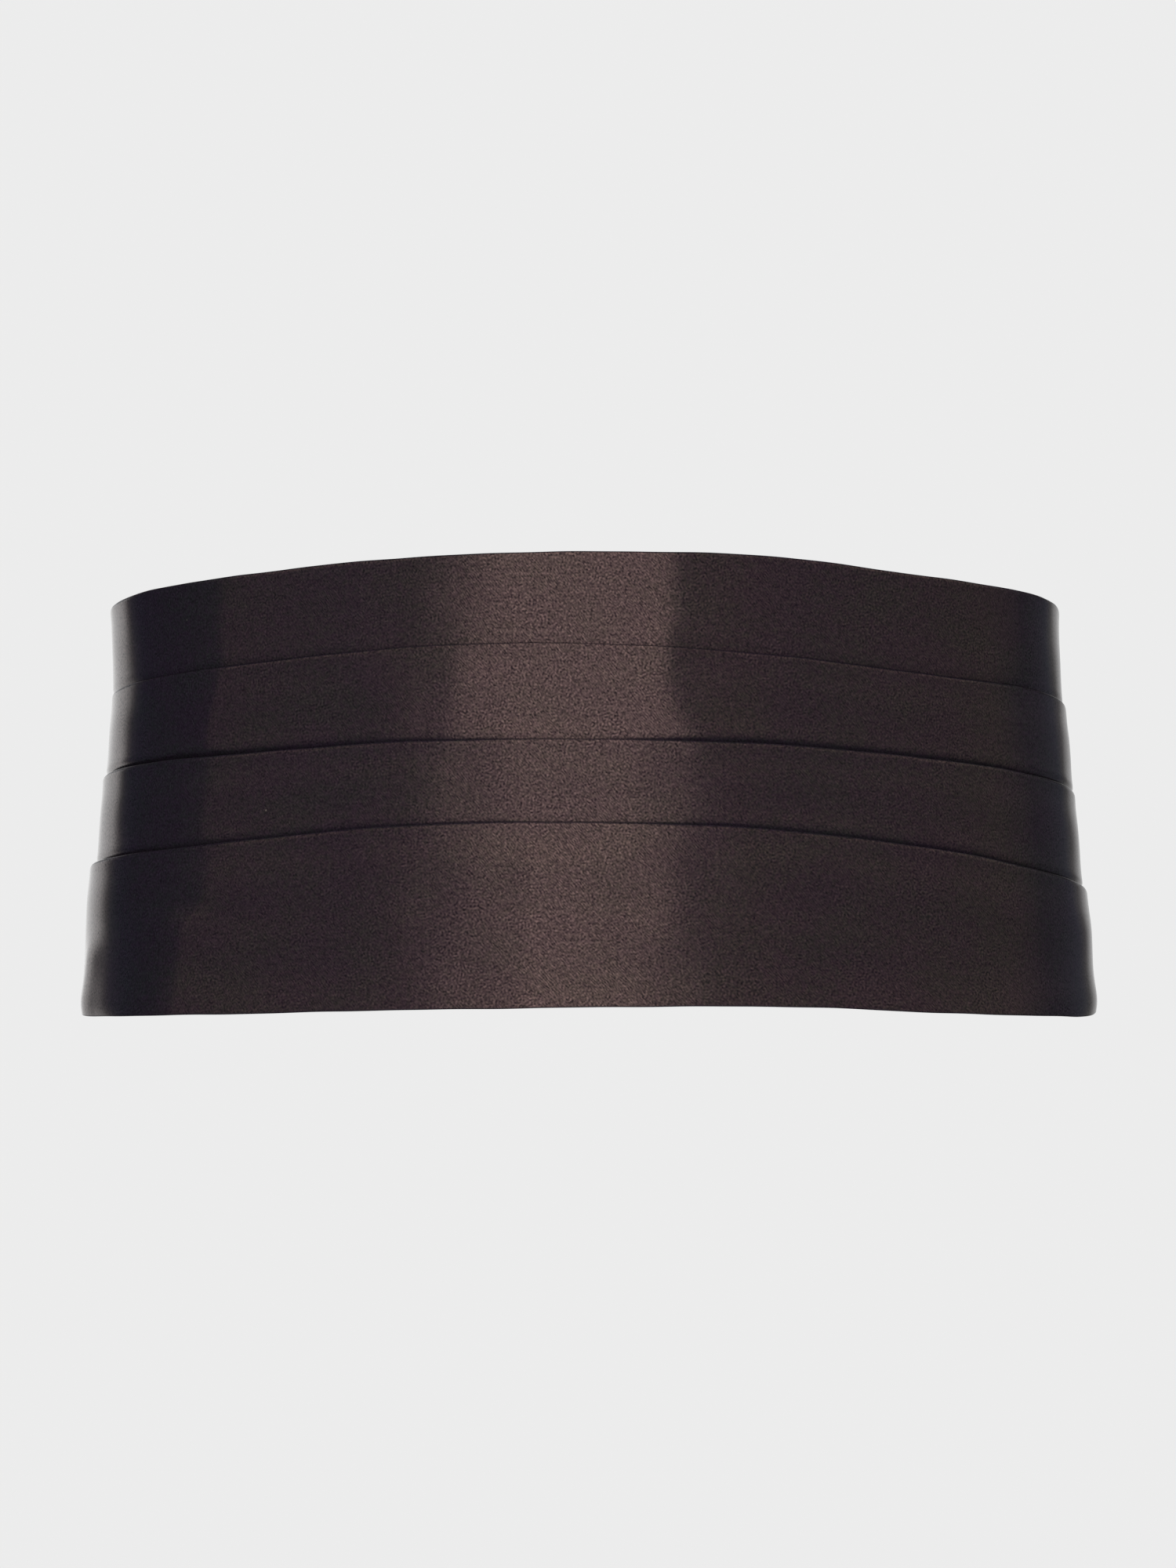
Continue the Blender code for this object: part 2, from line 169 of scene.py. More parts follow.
# one mesh over grids of points, columns x around. A grid's ends are capped, or joined to each
# other, and its places are where its points lie on the flat cloth, in metres.
# the last argument is, point by point, the share of gloss taken off to paint shade: 1 on a lower edge, less
# round a folded edge, 0 on a clear face.
def skin(name, grids, finish, sharp=60, paintedShade=None):
    points, faces, places = [], [], []
    for grid, ends, place in grids:
        index = np.arange(grid[..., 0].size).reshape(grid.shape[:2]) + sum(map(len, points))
        near, far = index[:-1], index[1:]
        if ends == "joined":
            near, far = index, np.roll(index, -1, axis=0)
        corners = (near, far, np.roll(far, -1, 1), np.roll(near, -1, 1))
        faces += np.stack(corners, -1).reshape(-1, 4).tolist()
        if ends == "capped":
            faces += [index[0].tolist(), index[-1][::-1].tolist()]
        points.append(grid.reshape(-1, 3))
        places.append(place.reshape(-1, 2))
    mesh = bpy.data.meshes.new(name)
    mesh.from_pydata(np.concatenate(points).tolist(), [], faces)
    work = bmesh.new()
    work.from_mesh(mesh)
    bmesh.ops.recalc_face_normals(work, faces=work.faces)
    work.to_mesh(mesh)
    work.free()
    corners = np.zeros(len(mesh.loops), np.int32)
    mesh.loops.foreach_get("vertex_index", corners)
    onFlat = np.concatenate(places)[corners].astype(np.float32).ravel()
    mesh.uv_layers.new(name="cloth").uv.foreach_set("vector", onFlat)
    mesh.shade_smooth()
    mesh.set_sharp_from_angle(angle=math.radians(sharp))
    mesh.materials.append(finish)
    if paintedShade is not None:
        marks = mesh.attributes.new("paintedShade", "FLOAT", "POINT")
        marks.data.foreach_set("value", paintedShade.astype(np.float32).ravel())
    return addObject(name, mesh)


# an input is a number, a colour or another node's output
def setInputs(tree, node, inputs):
    for key, value in inputs.items():
        if isinstance(value, bpy.types.NodeSocket):
            tree.links.new(value, node.inputs[key])
        else:
            node.inputs[key].default_value = value


def addNode(tree, kind, inputs=None, **settings):
    made = tree.nodes.new("ShaderNode" + kind)
    for key, value in settings.items():
        setattr(made, key, value)
    setInputs(tree, made, inputs or {})
    return made


# a material whose shader's inputs are worked out by a function from its look
def makeMaterial(name, shaderInputs, look):
    made = bpy.data.materials.new(name)
    made.use_nodes = True
    tree = made.node_tree
    setInputs(tree, tree.nodes["Principled BSDF"], shaderInputs(tree, look))
    return made


def onCloth(tree):
    return addNode(tree, "UVMap", uv_map="cloth").outputs["UV"]


# scale is patches per metre
def noise(tree, place, scale, detail):
    inputs = {"Vector": place, "Scale": scale, "Detail": detail}
    return addNode(tree, "TexNoise", inputs).outputs["Fac"]


# noise on the flat cloth; stretch squeezes it each way
def clothNoise(tree, scale, stretch=(1, 1, 1), turn=0, detail=2):
    turned = addNode(tree, "Mapping", {
        "Vector": onCloth(tree), "Rotation": (0, 0, math.radians(turn)), "Scale": stretch})
    return noise(tree, turned.outputs["Vector"], scale, detail)


def mapRange(tree, value, low, high, fromLow=0.3, fromHigh=0.7):
    made = addNode(tree, "MapRange", {
        "Value": value, "From Min": fromLow, "From Max": fromHigh, "To Min": low, "To Max": high})
    return made.outputs["Result"]


def mixColour(tree, share, first, second, blend="MIX"):
    inputs = {0: share, 6: first, 7: second}
    return addNode(tree, "Mix", inputs, data_type="RGBA", blend_type=blend).outputs[2]


def mixNumber(tree, share, first, second):
    inputs = {0: share, 2: first, 3: second}
    return addNode(tree, "Mix", inputs, data_type="FLOAT").outputs[0]


def maths(tree, operation, first, second=0.0, third=0.0):
    inputs = {0: first, 1: second, 2: third}
    return addNode(tree, "Math", inputs, operation=operation).outputs[0]


def addUp(tree, first, second, share):
    return maths(tree, "MULTIPLY_ADD", second, share, first)


# the normal of a surface with this relief, depth in mm
def relieved(tree, height, depth, strength=1.0):
    inputs = {"Height": height, "Strength": strength, "Distance": depth * mm}
    return addNode(tree, "Bump", inputs).outputs["Normal"]


satinLook = {
    "plum": (0.0335, 0.0232, 0.0400, 1),
    "bark": (0.0290, 0.0288, 0.0350, 1),
    "patches": (38, 300, 700),  # of the two colours per metre, the largest first
    "patchShares": (0.45, 0.7),  # of the smaller ones
    "tint": (1.0, 0.64, 0.54, 1),  # of the gloss seen square on; it is white at a glancing angle
    "roughness": 0.165,
    "roughGrain": 0.015,  # how far it goes up and down
    "anisotropy": 1.0,  # the weave's long floats spread gloss up and down only
    "upright": 0.25,  # of a turn, from the run to the way that the gloss spreads
    "grainSize": 1.0,  # mm from one fleck of the grain to the next
    # its noise: scale at 1 mm, waves in each fleck, how true they run one way, and degrees
    "fleck": (0.62, 1.6, 0.0, 45),
    "twill": (0.5, 2.0, 0.85, 40),
    "twillPitch": 0.68,  # mm from one diagonal line to the next
    "fuzz": 0.38,  # share of plain noise in the grain
    "glossGrain": (0.11, 1.12),  # gloss of the dullest and the brightest flecks
    "edgeGloss": 0.05,  # share of the gloss that is left where shade is painted in full, as on a lower edge
    "colourGrain": (0.50, 1.60),  # colour of the darkest and the lightest flecks
    "mottle": 0.07,  # how far soft patches make it brighter or darker
    "mottles": 330,  # of them per metre
    "relief": 0.004,  # mm
    "fluff": (0.20, 0.17, 0.16, 1),  # its few loose bits of thread
    "fluffApart": 12.0,  # mm, if every place had one
    "fluffShare": 0.08,  # of the places that have one
    "fluffSize": (0.012, 0.03),  # of a bit and its soft edge, as shares of that distance
}


def weave(tree, pitch, scale, waves, trueness, turn):
    return addNode(tree, "TexGabor", {
        "Vector": onCloth(tree), "Scale": scale / (pitch * mm), "Frequency": waves,
        "Anisotropy": trueness, "Orientation": math.radians(turn)}, gabor_type="2D").outputs["Value"]


# the grain of the cloth: worm-like flecks, and diagonal twill lines that come and go
def satinGrain(tree, look):
    flecks = weave(tree, look["grainSize"], *look["fleck"])
    lines = weave(tree, look["twillPitch"], *look["twill"])
    share = mapRange(tree, clothNoise(tree, 60, detail=1), 0.05, 0.6)
    fuzz = clothNoise(tree, 0.9 / (look["grainSize"] * mm), detail=1)
    return mixNumber(tree, look["fuzz"], mixNumber(tree, share, flecks, lines), fuzz)


# 1 on the few tiny bits of loose thread that catch on the satin, 0 elsewhere
def looseThreads(tree, look):
    cells = addNode(tree, "TexVoronoi", {
        "Vector": onCloth(tree), "Scale": 1 / (look["fluffApart"] * mm)})
    parts = addNode(tree, "SeparateColor", {"Color": cells.outputs["Color"]})
    has = maths(tree, "GREATER_THAN", parts.outputs["Red"], 1 - look["fluffShare"])
    near = mapRange(tree, cells.outputs["Distance"], 1, 0, *look["fluffSize"])
    return maths(tree, "MULTIPLY", has, near)


# a level that follows the grain, squared so that most flecks are low
def flecked(tree, grain, levels, fromLow, fromHigh):
    root = mapRange(tree, grain, levels[0] ** 0.5, levels[1] ** 0.5, fromLow, fromHigh)
    return maths(tree, "MULTIPLY", root, root)


def satinInputs(tree, look):
    grain = satinGrain(tree, look)
    large, middle, small = look["patches"]
    patches = mapRange(tree, clothNoise(tree, large, (1, 1.5, 1)), -0.15, 0.5, 0.36, 0.64)
    spots = mapRange(tree, clothNoise(tree, middle, (1, 1.2, 1)), 0, 1)
    specks = mapRange(tree, clothNoise(tree, small, detail=1), -0.5, 0.5)
    spotShare, speckShare = look["patchShares"]
    blend = addUp(tree, addUp(tree, patches, spots, spotShare), specks, speckShare)
    hue = mixColour(tree, blend, look["plum"], look["bark"])
    mottle = clothNoise(tree, look["mottles"], detail=1)
    mottle = mapRange(tree, mottle, -look["mottle"], look["mottle"])
    fleck = addUp(tree, flecked(tree, grain, look["colourGrain"], 0.27, 0.73), mottle, 1.0)
    colour = mixColour(tree, 1.0, hue, fleck, "MULTIPLY")
    gloss = addUp(tree, flecked(tree, grain, look["glossGrain"], 0.33, 0.67), mottle, 0.5)
    # painted shade: gloss is taken off where this attribute is set, to darken folded edges, lower edges,
    # the tabs' edges and whole bands
    edge = addNode(tree, "Attribute", attribute_name="paintedShade", attribute_type="GEOMETRY")
    keep = mapRange(tree, edge.outputs["Fac"], 1.0, look["edgeGloss"], 0, 1)
    tangent = addNode(tree, "Tangent", direction_type="RADIAL", axis="Z")
    rough, uneven = look["roughness"], look["roughGrain"]
    return {
        "Base Color": mixColour(tree, looseThreads(tree, look), colour, look["fluff"]),
        "Specular IOR Level": maths(tree, "MULTIPLY", gloss, keep),
        "Specular Tint": look["tint"],
        "Roughness": mapRange(tree, grain, rough + uneven, rough - uneven),
        "Normal": relieved(tree, grain, look["relief"]),
        "Tangent": tangent.outputs["Tangent"],
        "Anisotropic": look["anisotropy"],
        "Anisotropic Rotation": look["upright"],
    }


ribbonLook = {
    # dark is the painted shade in the grooves between the ribs, light the webbing on top of them
    "dark": (0.012, 0.010, 0.013, 1),
    "light": (0.040, 0.032, 0.036, 1),
    "ribPitch": 1.05,  # mm
    "threadPitch": 0.4,  # mm
    "ribDepth": 0.12,  # mm
    "threadShare": 0.25,  # of the threads in the relief
    "fuzzShare": 0.3,  # of a fine noise in its colour
    "roughness": 0.62,
    "sheen": (0.15, 0.4),  # how much of it and how rough
}
wavePitch = 0.314  # scale at which a wave texture repeats every metre


def ribbonInputs(tree, look):
    waves = []
    for pitch, bend, way in ((look["ribPitch"], 0.4, "X"), (look["threadPitch"], 1.2, "Y")):
        wave = addNode(tree, "TexWave", {
            "Vector": onCloth(tree), "Scale": wavePitch / (pitch * mm), "Distortion": bend,
            "Detail": 1}, bands_direction=way)
        waves.append(wave.outputs["Fac"])
    ribs, threads = waves
    fuzz = clothNoise(tree, 1500)
    # its colour follows the ribs, darker in the grooves where the relief is low: painted shade, with a fine
    # noise over it
    share = addUp(tree, mapRange(tree, ribs, 0, 0.75, 0, 1), fuzz, look["fuzzShare"])
    relief = addUp(tree, ribs, threads, look["threadShare"])
    return {
        "Base Color": mixColour(tree, share, look["dark"], look["light"]),
        "Roughness": mapRange(tree, fuzz, look["roughness"] - 0.08, look["roughness"] + 0.08),
        "Normal": relieved(tree, relief, look["ribDepth"]),
        "Sheen Weight": look["sheen"][0],
        "Sheen Roughness": look["sheen"][1],
    }


metalLook = {
    "bright": (0.62, 0.60, 0.57, 1),
    "dull": (0.40, 0.385, 0.37, 1),
    "roughness": (0.26, 0.36),  # of its cleanest and its cloudiest places
    "clouds": 260,  # of them per metre
    "brush": (60, 60, 2600),  # brushing marks per metre, each way
    "brushDepth": 0.02,  # mm
}


def metalInputs(tree, look):
    place = addNode(tree, "TexCoord").outputs["Object"]
    lines = addNode(tree, "Mapping", {"Vector": place, "Scale": look["brush"]})
    brushed = noise(tree, lines.outputs["Vector"], 1, 3)
    cloud = noise(tree, place, look["clouds"], 4)
    return {
        "Base Color": mixColour(tree, mapRange(tree, cloud, 0, 1), look["dull"], look["bright"]),
        "Roughness": addUp(tree, mapRange(tree, cloud, *look["roughness"]), brushed, 0.1),
        "Normal": relieved(tree, brushed, look["brushDepth"], 0.6),
        "Metallic": 1.0,
    }


threadLook = {
    "dark": (0.010, 0.008, 0.010, 1),
    "light": (0.045, 0.036, 0.040, 1),
    "twists": 2400,  # of its plies per metre
    "twistTurn": 35,  # degrees
    "roughness": 0.5,
}


def threadInputs(tree, look):
    twist = clothNoise(tree, look["twists"], stretch=(1, 0.3, 1), turn=look["twistTurn"], detail=1)
    return {
        "Base Color": mixColour(tree, mapRange(tree, twist, 0, 1), look["dark"], look["light"]),
        "Roughness": look["roughness"],
    }


satin = makeMaterial("plum brown satin", satinInputs, satinLook)
ribbon = makeMaterial("ribbed strap webbing", ribbonInputs, ribbonLook)
metal = makeMaterial("brushed clasp metal", metalInputs, metalLook)
thread = makeMaterial("sewing thread", threadInputs, threadLook)
print("materials made")


front = {
    "end": 310.0,  # run of the panel's end, inside the tab
    "columns": 497,
    "bodyRows": 16,
    "satin": 0.55,  # thickness of the satin with its interlining
    "outside": 1.3,  # lift of its outer face
    "lap": 0.75,  # a folded edge stands this much further out
    "lapDepth": 8.0,  # mm under the edge from where it comes back
    "swellDepth": 3.2,  # mm over which a folded edge swells
    "thickDepth": 3.0,  # mm over which it thickens
    "pressed": 2.3,  # mm over which a band is pressed in above the next fold
    "wander": 0.10,  # mm that a folded edge wanders up and down
    "wanderEnd": (290, 40),  # run where that ends, and over how much of it
    "calm": 285,  # run from where the ends inside the tabs stay plain
    "creaseEnd": 0.12,  # of a crease's length, over which each of its ends fades
    "nestle": 0.08,  # room between a tuck and the back of the band it lies against
    "sideStart": (120, 104),  # run where a band begins to stand out at the sides: left and right
    "sideOver": (60, 50),  # over how much of the run, and over how much it ends
    "hemRise": (1.5, 2.2),  # mm, of a rise in the hem at the sides: left and right
    "hemRiseAt": (190, 16),  # its run and how far it spreads
    "curlDepth": 6.0,  # mm over which the hem curls inwards
    "curlStart": (125, 45),  # run where it begins, and over how much of it
    "foldTurn": (10, 170, 11),  # degrees round a folded edge, and points
    "lipTurn": (-150, -30, 5),  # the same for a lower edge
    "lipDrop": 0.35,  # mm that a lower edge is rounded downwards
    "bright": (-10, 38, 40),  # the bright front: run of its middle, half its width, and its fading
    "sides": (110, 50),  # run where the sides begin, and over how much of it
    "dullFrom": (35, -5),  # degrees round a folded edge where its painted shade begins: in front, at the sides
    "dullOver": 30,  # and over how many degrees
    "apart": (7.3, 3.1),  # mm from one band's place on the flat cloth to the next one's, each way
}

# soft creases: run and height of the two ends, half width across, and lift (- is a trough)
creases = (
    (25, 70, 25, 36, 7.5, 0.15), (22, 46, 25, 28, 8.5, 0.20),
    (25, 28, 34, 8, 8.5, 0.20), (44, 18, 44, -14, 11, 0.24),
    (58, -12, 66, -70, 20, 0.62), (-38, 39, -41, 12, 6, 0.10),
    (-15, 16, -15, -16, 14, 0.36), (-15, -17, -15, -70, 5, 0.16),
    (-12, -18, -12, -72, 18, 0.80), (-58, 68, -62, 38, 17, -0.34),
    (-50, 30, -56, 12, 8, 0.10), (-107, 68, -105, 38, 9, 0.12),
    (-107, 40, -123, 12, 9, 0.32), (-103, -14, -103, -34, 9, 0.30),
    (-126, -36, -132, -70, 15, 1.1), (-171, -44, -174, -80, 9, 0.9),
    (152, 70, 154, 34, 20, 0.9), (112, 50, 120, 16, 12, -0.10),
    (96, 10, 104, -24, 12, 0.10), (176, 44, 182, 8, 16, 0.2),
    (178, -36, 182, -72, 12, 0.35), (-236, 10, -240, -40, 14, -0.5),
    (-214, 30, -220, -10, 12, 0.3), (240, 30, 236, -20, 15, 0.5),
    (262, 20, 258, -30, 10, -0.4), (-262, 26, -260, -24, 9, 0.4),
)

# slight unevenness of the taut satin: pace along the run, pace up, and size
ripples = (
    (0.23, 0.12, 1.0), (0.12, -0.24, 0.9), (0.33, -0.09, 0.6), (0.07, 0.35, 0.8), (0.17, 0.41, 0.5))
rippleLift = 0.022  # mm


# how far the creases and ripples lift the satin at each place
def creaseLift(run, height):
    total = np.zeros(np.broadcast(run, height).shape)
    for k, (pace, climb, size) in enumerate(ripples):
        total += rippleLift * size * np.sin(pace * run + climb * height + 1.9 * k)
    fade = front["creaseEnd"]
    for runTop, top, runBottom, bottom, width, lift in creases:
        down = (top - height) / (top - bottom)
        middle = runTop + (runBottom - runTop) * down
        along = ease((down + fade) / (2 * fade)) * ease((1 + fade - down) / (2 * fade))
        total += lift * along * np.exp(-(((run - middle) / width) ** 2))
    return total * ease((front["calm"] - np.abs(run)) / 20)


# small uneven waves, the same each time
def waver(run, seed):
    waves = ((0.171, 1.0), (0.097, 0.8), (0.313, 0.5), (0.052, 0.9))
    parts = (size * np.sin(run * pace + seed * (k + 1.7)) for k, (pace, size) in enumerate(waves))
    return sum(parts) / 2


# top and bottom: the panel's edges that a band runs between
# swell and thick: how much its folded edge swells outwards and thickens
# gape: how far an edge that laps over stands off; curl: how far the hem turns in at the sides
# matt: how much painted shade, as gloss taken off, the folded edge has across the bright front, 1
# elsewhere; dull: painted shade, as gloss taken off, over the whole band
# pressed: how deep a band is pressed in just above the next fold, at each run
# left and right: how far it stands out at the sides of the waist, at its top and its bottom
bands = {
    "top_band": {
        "top": "top", "bottom": "foldOne", "below": "second_band", "seed": 1,
        "pressed": ((-310, 0.6), (-140, 0.6), (-70, 0.48), (-35, 0.30), (15, 0.28), (60, 0.45), (310, 0.6)),
        "swell": 0.12, "thick": 0.45, "matt": 0.4, "dull": 0.0,
        "left": (1.3, 0.3), "right": (-0.7, 0.0)},
    "second_band": {
        "top": "foldOne", "bottom": "foldTwo", "below": "third_band", "seed": 2,
        "pressed": ((-310, 1.0), (-70, 1.05), (-38, 0.6), (15, 0.52), (33, 1.0), (80, 1.15), (310, 1.0)),
        "swell": 0.14, "thick": 0.10, "gape": 0.0, "matt": 0.0, "dull": 0.0,
        "left": (-0.4, 0.5), "right": (-0.1, 1.1)},
    "third_band": {
        "top": "foldTwo", "bottom": "foldThree", "below": "bottom_band", "seed": 3,
        "pressed": ((-310, 0.9), (-80, 0.9), (-40, 0.6), (10, 0.5), (45, 0.95), (100, 1.05), (310, 0.9)),
        "swell": 0.22, "thick": 0.42, "gape": 0.1, "matt": 0.3, "dull": 0.11,
        "left": (0.2, 0.2), "right": (0.3, 0.3)},
    "bottom_band": {
        "top": "foldThree", "bottom": "hem", "seed": 4, "curl": 1.1,
        "swell": 0.22, "thick": 0.42, "gape": 0.1, "matt": 0.3, "dull": 0.05,
        "left": (0.9, -0.4), "right": (0.2, 0.2)},
}

# rows of points, in mm: under a band's top, above its bottom, and down its tuck
nearFold = np.array((1.0, 1.3, 1.7, 2.2, 2.8, 3.6, 4.7, 6.2, 8.0))
nearBottom = np.array((6.0, 4.6, 3.5, 2.6, 1.9, 1.4, 1.0, 0.6, 0.3, 0.0))
tuckRows = np.array((0.7, 1.6, 3.0, 4.8, 7.0, 9.4))


# height of a panel edge
def panelEdge(key, run):
    return smoothLine(panel["run"], panel[key], run)


# the same, wandering a little; the ends inside the tabs don't
def edgeHeight(key, run, seed):
    plain = panelEdge(key, run)
    if key == "hem":
        at, spread = front["hemRiseAt"]
        rise = np.where(run < 0, *front["hemRise"])
        plain = plain + rise * np.exp(-(((np.abs(run) - at) / spread) ** 2))
    end, over = front["wanderEnd"]
    return plain + front["wander"] * waver(run, seed) * ease((end - np.abs(run)) / over)


# 0 away from a band's bottom and 1 at it, over `reach` mm
def nearness(below, room, reach):
    return np.clip(1 - (room - below) / reach, 0, 1.1)


# lift of a band's outer face, `below` mm under its top, `room` mm from there to its bottom
def bandFace(band, run, below, room):
    seed = band["seed"]
    swell = band["swell"] * (1 + 0.35 * waver(run * 0.7, seed + 5))
    lift = front["outside"] + swell * np.exp(-((below / front["swellDepth"]) ** 2))
    if "gape" in band:
        settle = np.minimum(cloth["settle"], room - cloth["tuck"])
        gape = band["gape"] * (1 + 0.5 * waver(run * 0.45, seed + 9))
        lift = lift + (front["lap"] + gape) * (1 - ease((below - front["lapDepth"]) / settle))
    if "below" in band:
        pressed = smoothLine(*zip(*band["pressed"]), run)
        lift = lift - pressed * nearness(below, room, front["pressed"]) ** 1.5
    if "curl" in band:
        start, over = front["curlStart"]
        sideways = ease((np.abs(run) - start) / over)
        lift = lift - band["curl"] * nearness(below, room, front["curlDepth"]) ** 2 * sideways
    share = below / room
    over, ending = front["sideOver"]
    for key, side, start in zip(("left", "right"), (-1, 1), front["sideStart"]):
        top, bottom = band[key]
        there = ease((side * run - start) / over) * ease((front["calm"] - side * run) / ending)
        lift = lift + there * (top + (bottom - top) * share)
    return lift


def bandThickness(band, below):
    return front["satin"] + band["thick"] * np.exp(-((below / front["thickDepth"]) ** 2))


# the same face with its tuck, which lies against the back of the band below it
def bandFaceAndTuck(band, run, below, room, top):
    lift = bandFace(band, run, below, room)
    if "below" not in band:
        return lift
    lower = bands[band["below"]]
    lowerTop = edgeHeight(lower["top"], run, lower["seed"])
    lowerRoom = lowerTop - edgeHeight(lower["bottom"], run, lower["seed"] + 1)
    lowerBelow = lowerTop - (top - below)
    behind = bandFace(lower, run, lowerBelow, lowerRoom) - bandThickness(lower, lowerBelow)
    share = ease((below - room - 0.5) / 3)
    return lift + (behind - front["nestle"] - lift) * share


# rows round an edge of a band, `drop` mm past it: their depths and lifts
def roundEdge(band, depth, outer, turn, drop):
    turn = np.radians(np.linspace(*turn))
    half = bandThickness(band, depth) / 2
    return depth - drop * np.sin(turn), outer - half + half * np.cos(turn)


# painted shade round a folded edge, as a share of gloss taken off its upper part: less in the bright front,
# and starting sooner at the sides
def foldShade(band, run):
    middle, half, fade = front["bright"]
    start, over = front["sides"]
    inFront, atSides = front["dullFrom"]
    matt = band["matt"] + (1 - band["matt"]) * ease((np.abs(run - middle) - half) / fade)
    sooner = (inFront - atSides) * ease((np.abs(run) - start) / over)
    return matt * ease((np.linspace(*front["foldTurn"]) - inFront + sooner) / front["dullOver"])


def bandGrid(band):
    run = np.linspace(-front["end"], front["end"], front["columns"])[:, None]
    seed = band["seed"]
    top = edgeHeight(band["top"], run, seed)
    room = top - edgeHeight(band["bottom"], run, seed + 1)
    share = np.linspace(0, 1, front["bodyRows"] + 2)[None, 1:-1]
    body = nearFold[-1] + (room - nearBottom[0] - nearFold[-1]) * share
    rows = [np.broadcast_to(nearFold, (len(run), len(nearFold))), body, room - nearBottom]
    if "below" in band:
        rows.append(room + tuckRows)
    depth = np.concatenate(rows, axis=1)
    outer = bandFaceAndTuck(band, run, depth, room, top)
    edge = roundEdge(band, depth[:, :1], outer[:, :1], front["foldTurn"], nearFold[0])
    lip = roundEdge(band, depth[:, -1:], outer[:, -1:], front["lipTurn"], front["lipDrop"])
    # every second row on the inner face
    columns = depth.shape[1]
    inside = np.unique(np.append(np.arange(0, columns, 2), columns - 1))
    inner = depth[:, inside], outer[:, inside] - bandThickness(band, depth[:, inside])
    ringDepth = np.concatenate([depth[:, ::-1], edge[0], inner[0], lip[0]], axis=1)
    ringLift = np.concatenate([outer[:, ::-1], edge[1], inner[1], lip[1]], axis=1)
    height = top - ringDepth
    ringLift = ringLift + creaseLift(run, height)
    # painted shade, as gloss taken off: on the upper part of each folded edge, and in full on the lower lip
    paintedShade = np.concatenate([
        0 * depth, foldShade(band, run), 0 * inner[0], 0 * lip[0] + 1], axis=1)
    # painted shade over the whole band, by its dull share
    paintedShade = np.maximum(paintedShade, band["dull"])
    # unrolled flat, each band on its own stretch of cloth
    behind = np.arange(ringDepth.shape[1]) >= columns + edge[0].shape[1] // 2
    flat = np.where(behind, 2 * top - height, height)
    along, up = front["apart"]
    place = np.stack([np.broadcast_to(run, flat.shape) + along * seed, flat + up * seed], -1) * mm
    return waistPoint(run, height, ringLift), place, paintedShade


def makeBand(name, band):
    grid, place, paintedShade = bandGrid(band)
    made = skin(name + "_satin", [(grid, "capped", place)], satin, paintedShade=paintedShade)
    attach(made, "root")
    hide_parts(name)
    return made


bandPieces = {name: makeBand(name, band) for name, band in bands.items()}
print("bands made:", ", ".join(bandPieces))


stitchLook = {
    "length": 2.3,
    "space": 0.75,
    "radius": 0.17,
    # along a stitch: share of its length, share of its radius, and rise in mm
    "shape": (
        (0.0, 0.25, -0.16), (0.12, 0.85, 0.02), (0.5, 1.0, 0.10), (0.88, 0.85, 0.02), (1.0, 0.25, -0.16)),
}


# rows of stitches: each row gives run, height and lift at every place in 0 to its length
def makeStitches(name, rows):
    share, girths, rises = np.transpose(stitchLook["shape"])
    sides = np.radians(np.arange(0, 360, 60))
    radius = (stitchLook["radius"] * girths)[:, None]
    grids = []
    for length, place in rows:
        count = max(1, int(length // (stitchLook["length"] + stitchLook["space"])))
        pitch = length / count
        for k in range(count):
            at = k * pitch + stitchLook["space"] / 2 + share * (pitch - stitchLook["space"])
            run, height, lift = np.broadcast_arrays(*place(at), at)[:3]
            aheadRun, aheadHeight = np.broadcast_arrays(*place(at + 0.05), at)[:2]
            across = squareTo(np.stack([aheadRun - run, aheadHeight - height], -1))
            grid = waistPoint(
                run[:, None] + across[:, :1] * radius * np.cos(sides),
                height[:, None] + across[:, 1:] * radius * np.cos(sides),
                (lift + rises)[:, None] + radius * np.sin(sides),
            )
            # each stitch on its own place in the thread's pattern
            u, v = np.indices(grid.shape[:2])
            start = len(grids) * u.size * 0.00001
            grids.append((grid, "capped", np.stack([u * 0.0006 + start, v * 0.0002], -1)))
    made = skin(name, grids, thread, sharp=80)
    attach(made, "root")
    return made


tab = {
    "run": (294, 297, 302, 311, 320, 330, 340),
    "halfHeight": (35.9, 36.1, 34.1, 30.6, 24.5, 17.6, 13.6),
    "halfHollow": (1.45, 1.45, 1.45, 1.45, 1.1, 0.8, 0.8),
    "middle": 1.15,  # lift of the sleeve's middle, and of the strap in it
    "columns": 56,
    "rows": 33,
    "folds": (14.5, 0.0, -14.5),  # heights at which the panel's folds show through
    "foldShow": (0.22, 2.2),  # mm that they lift it, and half the height of each
    "foldsEnd": (316, 16),  # run where they have faded away, and over how much of it
    "uneven": (0.10, 296, 338, 8),  # mm, from and to a run, and over how much of it at each end
    "seams": (297.5, 336.5),  # runs of its two upright rows of stitches
    "seam": (0.16, 0.9),  # mm that they pull it in, and half the width of each
    "seamInset": 2.2,  # from the seams' ends to the tab's edges
    "edgeShade": 0.7,  # painted shade on its edges, as a share of gloss taken off them to dim their glancing gloss
    "edgeSeam": (299, 36.0, 3.4),  # rows along the edges: first run, length, distance from the edge
    "stitchLift": 0.02,
}
tabEdge = girth / 2 - tab["run"][-1]


def tabSizes(run):
    halfHeight = smoothLine(tab["run"], tab["halfHeight"], run)
    return halfHeight, smoothLine(tab["run"], tab["halfHollow"], run)


